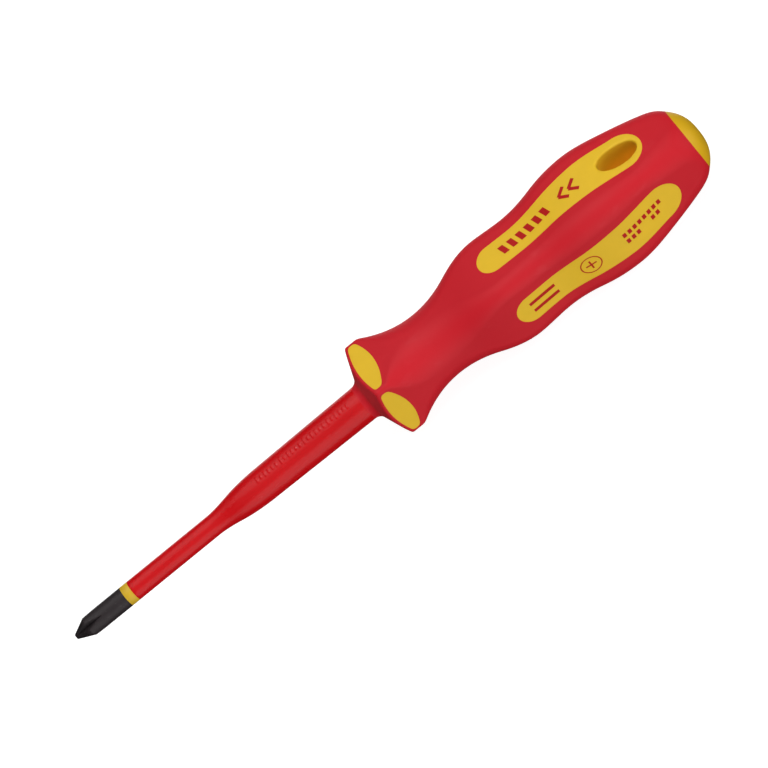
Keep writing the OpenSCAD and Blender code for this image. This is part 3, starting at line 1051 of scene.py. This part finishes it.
class SCREWDRIVER_OT_print(Operator):
    """Prints plain bars, chevrons and a cross-point sign on two of the windows"""
    bl_idname = "screwdriver.print"
    bl_label = "Print"

    def execute(self, context):
        d = handle_drawing(context.scene.handle_sizes)
        up, front = 1, 2                                  # quarters of the two windows
        parts = []

        # Six slanted bars and two chevrons
        tall, slant, bar = 1.6, 0.9, 1.7
        for x in 153.6 + 2.9 * np.arange(6):
            parts += mark(d, up, (x, x + slant, x + bar, x + slant + bar),
                          (-tall, tall, -tall, tall))
        for x in (174.6, 178.0):
            for side in (-1, 1):
                parts += stroke(d, up, (x, 0), (x + 2.5, side * 2.1), 1.05)

        # Two long bars, and a plus in a ring
        for t in (-2.0, 0.9):
            parts += mark(d, front, (151, 151, 159.4, 159.4), (t, t + 1.1, t, t + 1.1))
        x, arm, line = 170.2, 1.6, 0.5
        parts += ring_mark(d, front, (x, 0), 2.9, 0.35)
        parts += stroke(d, front, (x - arm, 0), (x + arm, 0), line)
        for side in (-1, 1):
            parts += stroke(d, front, (x, side * line / 2), (x, side * arm), line)

        # Two rows of dashes, the second with a gap
        for t, places in ((-2.3, range(8)), (0.3, (0, 1, 2, 5, 6))):
            for x in 181.2 + 1.75 * np.array(places):
                parts += mark(d, front, (x, x, x + 1.1, x + 1.1), (t, t + 1.6, t, t + 1.6))
        add_piece("window_print", parts, printed_ink(context.scene.tool_colours.ink))
        return {"FINISHED"}


class SCREWDRIVER_OT_stage(Operator):
    """Makes the floor, the lights and the camera"""
    bl_idname = "screwdriver.stage"
    bl_label = "Stage"

    def execute(self, context):
        reach = 4.0
        x, y = np.meshgrid(*[np.linspace(-reach, reach, 5)] * 2, indexing="ij")
        points, faces = sheet(np.stack([x, y, np.full_like(x, CAD_BOX[0].z)], -1))
        mesh = bpy.data.meshes.new("floor")
        mesh.from_pydata(points, [], faces.tolist())
        floor = add_object("floor", mesh)
        mesh.materials.append(studio_floor())
        floor.visible_diffuse = floor.visible_glossy = floor.visible_shadow = False

        # Camera: square to the handle's rear end, and aimed at the middle of the tool
        turn = radians(46.75)
        axis_x = Vector((1, 0, 0))
        away = Vector((0, -np.cos(turn), np.sin(turn)))
        aim = Vector((107.28, 0, 0)) * MM
        place = Vector((205, 0, 0)) * MM + away * 0.990
        back = (place - aim).normalized()
        along = (axis_x - back * axis_x.dot(back)).normalized()
        across = back.cross(along)
        lift = across * 0.49 * MM
        roll = radians(39.19)
        right = along * np.cos(roll) - across * np.sin(roll)
        up = along * np.sin(roll) + across * np.cos(roll)
        camera = bpy.data.cameras.new("camera")
        camera.lens, camera.sensor_width = 175.7, 36
        camera.clip_start, camera.clip_end = 0.05, 20
        view = add_object("camera", camera)
        turned = Matrix((right, up, back)).transposed().to_4x4()
        view.matrix_world = Matrix.Translation(place + lift) @ turned
        context.scene.camera = view

        # Lights: broad lamps round the tool, and a small one for a crisp highlight
        middle = Vector((0.11, 0, 0))
        for name, way, distance, width, watts in (
                ("key", back * 0.62 + across * 0.78, 1.8, 2.3, 22.5),
                ("spark", back * 0.66 + across * 0.75, 1.8, 0.4, 5.5),
                ("fill", back * 0.55 - across * 0.84, 2.0, 2.6, 34),
                ("front", back, 1.6, 2.2, 6),
                ("behind", Vector((0.1, 1.0, -0.3)), 1.8, 1.6, 6),
                ("cap_end", Vector((1.0, -0.2, 0.2)), 1.8, 1.6, 10.5),
                ("tip_end", Vector((-1.0, 0.1, 0.2)), 1.8, 1.6, 3)):
            lamp = bpy.data.lights.new(name, "AREA")
            lamp.shape, lamp.size, lamp.energy = "DISK", width, watts
            light = add_object(name, lamp)
            light.visible_camera = False
            way = way.normalized()
            light.location = middle + way * distance
            light.rotation_mode = "QUATERNION"
            light.rotation_quaternion = way.to_track_quat("Z", "Y")
        world = bpy.data.worlds.new("studio")
        world.use_nodes = True
        background = world.node_tree.nodes["Background"]
        background.inputs["Color"].default_value = (1, 1, 1, 1)
        world.cycles_visibility.diffuse = world.cycles_visibility.glossy = False
        context.scene.world = world
        context.scene.view_settings.view_transform = "Standard"
        return {"FINISHED"}


STEPS = (SCREWDRIVER_OT_blade, SCREWDRIVER_OT_insulation, SCREWDRIVER_OT_core,
         SCREWDRIVER_OT_handle, SCREWDRIVER_OT_end_cap, SCREWDRIVER_OT_print,
         SCREWDRIVER_OT_stage)


class SCREWDRIVER_PT_parts(Panel):
    """Lists the pieces of the screwdriver and their sizes"""
    bl_idname = "SCREWDRIVER_PT_parts"
    bl_label = "Screwdriver"
    bl_space_type = "VIEW_3D"
    bl_region_type = "UI"
    bl_category = "Screwdriver"

    def draw(self, context):
        for step in STEPS:
            self.layout.operator(step.bl_idname)
        for group in (context.scene.blade_sizes, context.scene.handle_sizes,
                      context.scene.tool_colours):
            box = self.layout.box()
            for name in group.__annotations__:
                box.prop(group, name)


CLASSES = (BladeSizes, HandleSizes, ToolColours, *STEPS, SCREWDRIVER_PT_parts)


def register():
    for made in CLASSES:
        bpy.utils.register_class(made)
    bpy.types.Scene.blade_sizes = PointerProperty(type=BladeSizes)
    bpy.types.Scene.handle_sizes = PointerProperty(type=HandleSizes)
    bpy.types.Scene.tool_colours = PointerProperty(type=ToolColours)


def unregister():
    for name in ("blade_sizes", "handle_sizes", "tool_colours"):
        delattr(bpy.types.Scene, name)
    for made in reversed(CLASSES):
        bpy.utils.unregister_class(made)


def main():
    register()
    bpy.ops.screwdriver.blade()
    bpy.ops.screwdriver.insulation()
    bpy.ops.screwdriver.core()
    bpy.ops.screwdriver.handle()
    bpy.ops.screwdriver.end_cap()
    bpy.ops.screwdriver.print()
    bpy.ops.screwdriver.stage()


if __name__ == "__main__":
    main()
